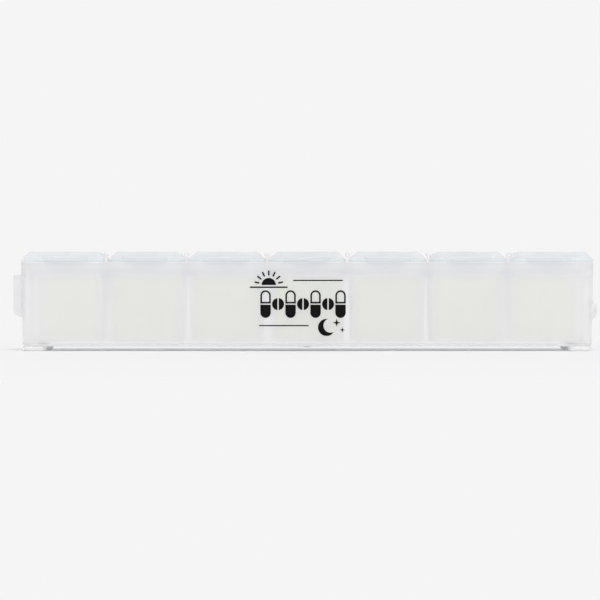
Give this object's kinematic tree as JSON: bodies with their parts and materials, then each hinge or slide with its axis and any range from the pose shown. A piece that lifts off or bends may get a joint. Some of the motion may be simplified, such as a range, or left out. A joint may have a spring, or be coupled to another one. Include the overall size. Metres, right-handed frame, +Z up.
{
  "type": "weekly pill box",
  "caption": "Long frosted pill organiser: a row of compartments, each with a snap-in hinged lid and a thumb lip, on soft corner feet.",
  "frame": {"origin": "middle of the box's outline on the surface it stands on", "axes": "+X along the row of compartments with the lug on the -X end, -Y is the front with the thumb lips, +Z up"},
  "size_m": [0.1649, 0.0377, 0.0278],
  "materials": {
    "tray_plastic": "frosted translucent polypropylene",
    "lid_plastic": "frosted translucent polypropylene, faintly blue",
    "pin_steel": "drawn stainless wire",
    "foot_rubber": "milky soft rubber"
  },
  "bodies": {
    "base": {"tray": "tray_plastic", "foot_front_left": "foot_rubber", "foot_rear_left": "foot_rubber", "foot_front_right": "foot_rubber", "foot_rear_right": "foot_rubber"},
    "day_1": {"lid_1": "lid_plastic", "hinge_pin_1": "pin_steel"},
    "day_2": {"lid_2": "lid_plastic", "hinge_pin_2": "pin_steel"},
    "day_3": {"lid_3": "lid_plastic", "hinge_pin_3": "pin_steel"},
    "day_4": {"lid_4": "lid_plastic", "hinge_pin_4": "pin_steel"},
    "day_5": {"lid_5": "lid_plastic", "hinge_pin_5": "pin_steel"},
    "day_6": {"lid_6": "lid_plastic", "hinge_pin_6": "pin_steel"},
    "day_7": {"lid_7": "lid_plastic", "hinge_pin_7": "pin_steel"}
  },
  "joints": [
    {"name": "lid_1_hinge", "type": "hinge", "parent": "base", "child": "day_1", "pos_m": [-0.0672, 0.01523, 0.02415], "axis": [-1, 0, 0], "range_deg": [0, 115]},
    {"name": "lid_2_hinge", "type": "hinge", "parent": "base", "child": "day_2", "pos_m": [-0.0448, 0.01523, 0.02415], "axis": [-1, 0, 0], "range_deg": [0, 115]},
    {"name": "lid_3_hinge", "type": "hinge", "parent": "base", "child": "day_3", "pos_m": [-0.0224, 0.01523, 0.02415], "axis": [-1, 0, 0], "range_deg": [0, 115]},
    {"name": "lid_4_hinge", "type": "hinge", "parent": "base", "child": "day_4", "pos_m": [0, 0.01523, 0.02415], "axis": [-1, 0, 0], "range_deg": [0, 115]},
    {"name": "lid_5_hinge", "type": "hinge", "parent": "base", "child": "day_5", "pos_m": [0.0224, 0.01523, 0.02415], "axis": [-1, 0, 0], "range_deg": [0, 115]},
    {"name": "lid_6_hinge", "type": "hinge", "parent": "base", "child": "day_6", "pos_m": [0.0448, 0.01523, 0.02415], "axis": [-1, 0, 0], "range_deg": [0, 115]},
    {"name": "lid_7_hinge", "type": "hinge", "parent": "base", "child": "day_7", "pos_m": [0.0672, 0.01523, 0.02415], "axis": [-1, 0, 0], "range_deg": [0, 115]}
  ]
}
